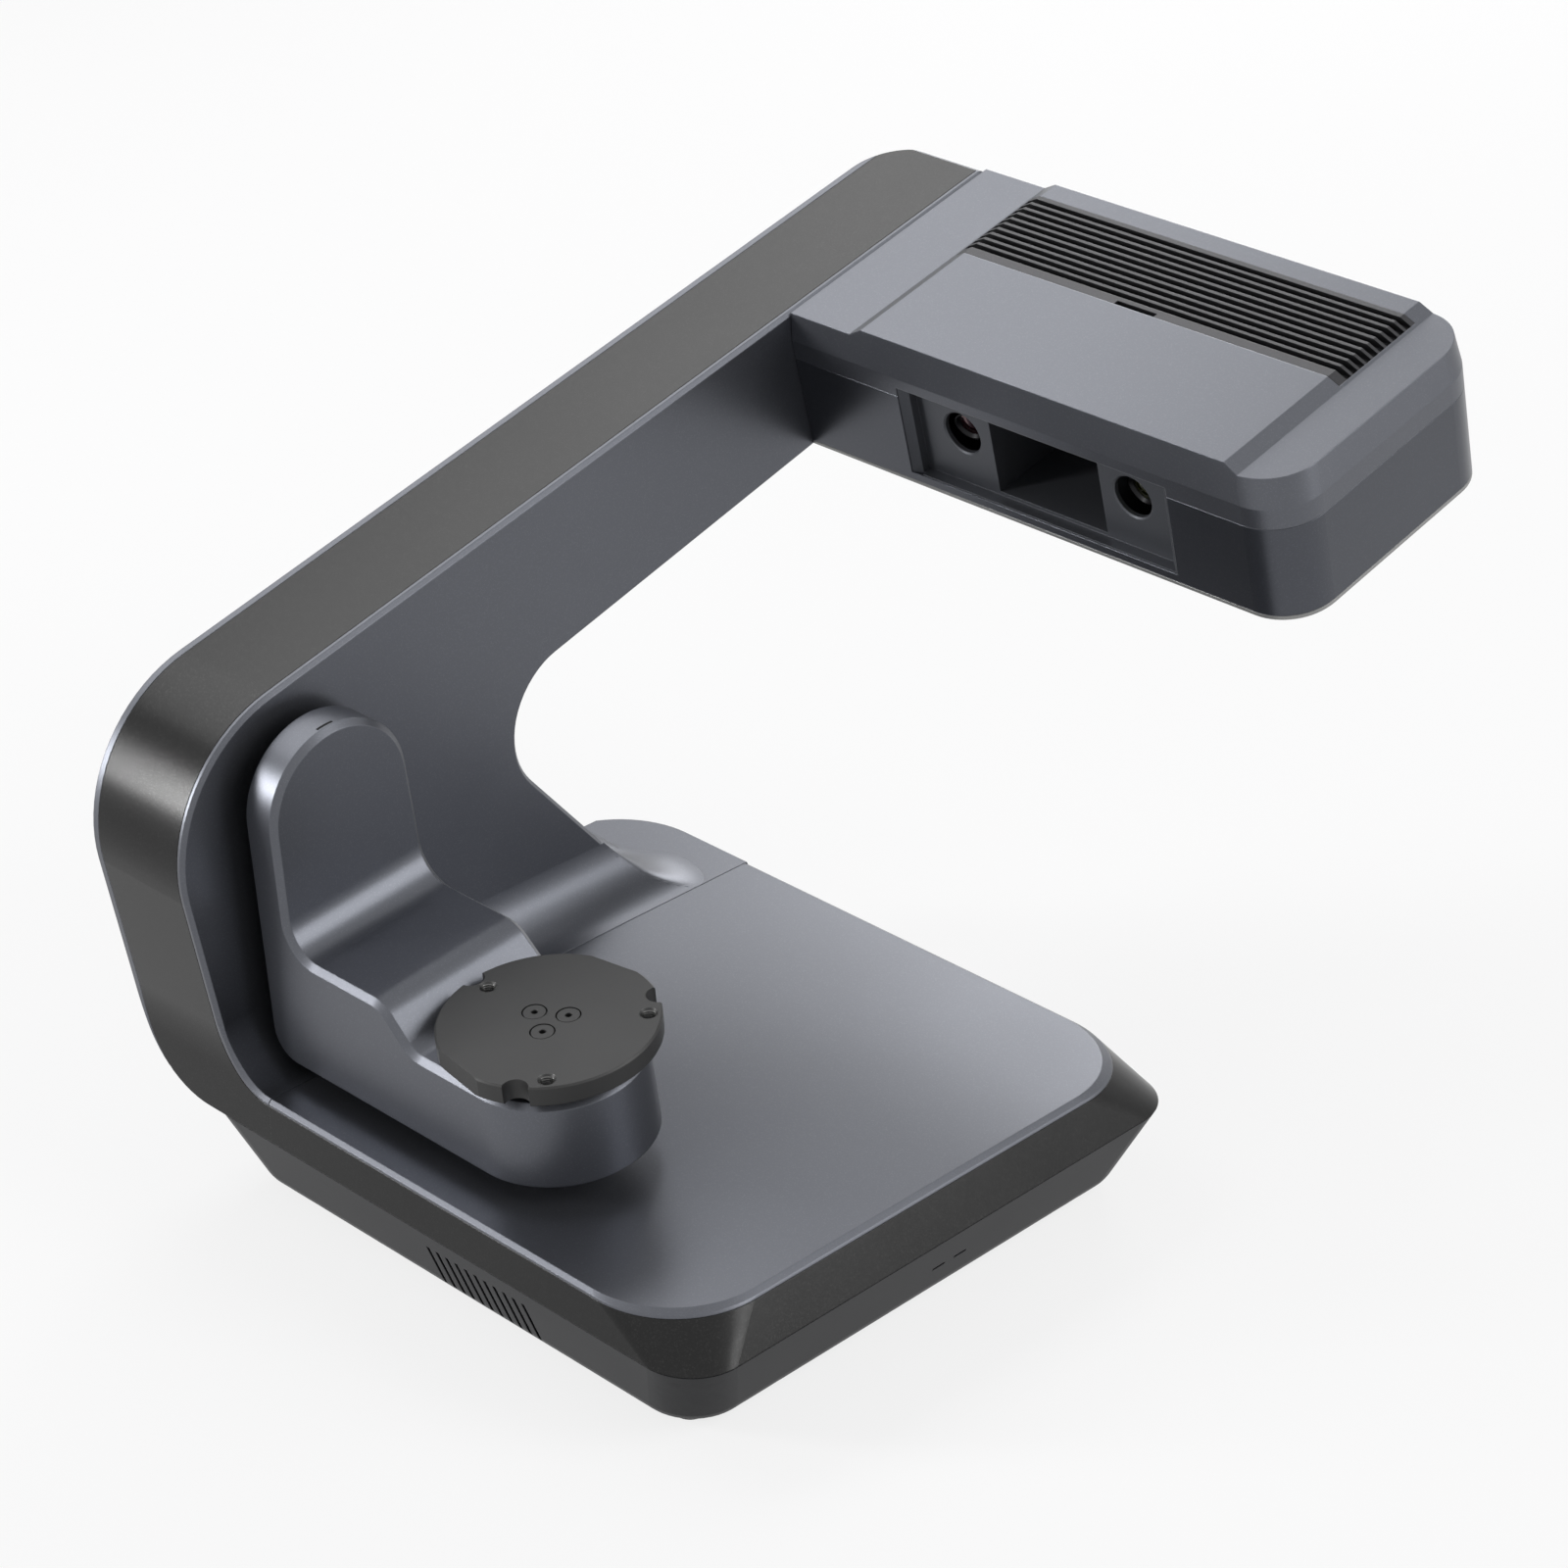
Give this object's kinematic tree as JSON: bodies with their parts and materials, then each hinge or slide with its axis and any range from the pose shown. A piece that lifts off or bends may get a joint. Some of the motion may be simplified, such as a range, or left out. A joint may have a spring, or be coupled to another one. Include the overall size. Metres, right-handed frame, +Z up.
{
  "type": "desktop 3d scanner",
  "caption": "Desktop 3D scanner: wide base, cranked side arm, overhanging camera head with louvres, and a swinging cradle that carries a turntable.",
  "frame": {"origin": "on the bench under the middle of the overall box", "axes": "+X to the scanner's right, +Y to its back, +Z up; the operator stands on -Y"},
  "size_m": [0.367, 0.5439, 0.3761],
  "materials": {
    "cover_grey": "satin moulded and sprayed, bluish grey",
    "band_dark": "satin dark metallic spray with fine sparkle",
    "tray_dark": "satin moulded",
    "case_dark": "satin moulded",
    "louvre_grey": "satin moulded",
    "rim_grey": "satin moulded, light grey",
    "bezel_dark": "matte",
    "rubber_black": "matte",
    "plate_black": "black anodised, fine blasted",
    "steel": "turned and zinc plated",
    "screw_black": "black oxide",
    "cast_aluminium": "as cast",
    "black_aluminium": "black anodised",
    "brass_gear": "milled",
    "gear_resin": "moulded acetal",
    "bronze_bush": "sintered",
    "board_green": "solder mask",
    "black_plastic": "moulded",
    "lens_glass": "coated glass"
  },
  "bodies": {
    "housing": {"base_tray": "tray_dark", "rubber_feet": "rubber_black", "tray_screws": "screw_black", "base_chassis": "steel", "base_band": "band_dark", "base_top_plate": "cover_grey", "arm_spine_band": "band_dark", "arm_inner_shell": "cover_grey", "arm_outer_shell": "cover_grey", "arm_frame": "cast_aluminium", "swing_motor": "black_aluminium", "swing_bearing": "bronze_bush", "control_board": "board_green", "base_fan_frame": "black_plastic", "power_inlet": "black_plastic", "rocker_frame": "black_plastic", "data_port": "steel", "head_top_cover": "cover_grey", "head_louvre_cover": "louvre_grey", "head_lower_case": "case_dark", "head_bottom_plate": "rim_grey", "head_front_bezel": "bezel_dark", "head_screws": "screw_black", "optics_bracket": "cast_aluminium", "left_camera": "black_aluminium", "right_camera": "black_aluminium", "left_barrel": "black_aluminium", "right_barrel": "black_aluminium", "left_lens": "lens_glass", "right_lens": "lens_glass", "projector_body": "black_aluminium", "projector_lens": "lens_glass", "projector_heat_sink": "black_aluminium", "head_board": "board_green", "head_fan_frame": "black_plastic"},
    "cradle": {"cradle_cover": "cover_grey", "cradle_back_cover": "cover_grey", "cradle_frame": "cast_aluminium", "swing_shaft": "steel", "swing_gear": "brass_gear", "turntable_motor": "black_aluminium", "turntable_bearing": "bronze_bush"},
    "turntable": {"turntable_plate": "plate_black", "plate_screws": "screw_black", "turntable_spindle": "steel", "turntable_gear": "gear_resin"},
    "swing_drive": {"swing_pinion": "steel"},
    "turntable_drive": {"turntable_pinion": "steel"},
    "base_fan": {"base_fan_rotor": "black_plastic"},
    "head_fan": {"head_fan_rotor": "black_plastic"},
    "rocker": {"power_rocker": "black_plastic"}
  },
  "joints": [
    {"name": "cradle_swing", "type": "hinge", "parent": "housing", "child": "cradle", "pos_m": [-0.098, -0.2022, 0.19935], "axis": [1, 0, 0], "range_deg": [-51.2, 38.8]},
    {"name": "turntable_spin", "type": "hinge", "parent": "cradle", "child": "turntable", "pos_m": [0.0337, -0.19547, 0.13731], "axis": [0, -0.108, 0.9942], "continuous": true},
    {"name": "turntable_pinion_spin", "type": "hinge", "parent": "cradle", "child": "turntable_drive", "pos_m": [-0.0113, -0.19223, 0.10749], "axis": [0, -0.108, 0.9942], "continuous": true},
    {"name": "swing_pinion_spin", "type": "hinge", "parent": "housing", "child": "swing_drive", "pos_m": [-0.13, -0.2022, 0.16185], "axis": [1, 0, 0], "range_deg": [-160, 210]},
    {"name": "base_fan_spin", "type": "hinge", "parent": "housing", "child": "base_fan", "pos_m": [0.0415, -0.2241, 0.03755], "axis": [0, 1, 0], "continuous": true},
    {"name": "head_fan_spin", "type": "hinge", "parent": "housing", "child": "head_fan", "pos_m": [0.1237, 0.21636, 0.3335], "axis": [0, -0.2538, 0.9673], "continuous": true},
    {"name": "rocker_press", "type": "hinge", "parent": "housing", "child": "rocker", "pos_m": [0.0656, 0.05445, 0.02526], "axis": [1, 0, 0], "range_deg": [0, 13]}
  ],
  "couplings": [
    {"joint": "turntable_pinion_spin", "follows": "turntable_spin", "ratio": -4},
    {"joint": "swing_pinion_spin", "follows": "cradle_swing", "ratio": -4}
  ]
}
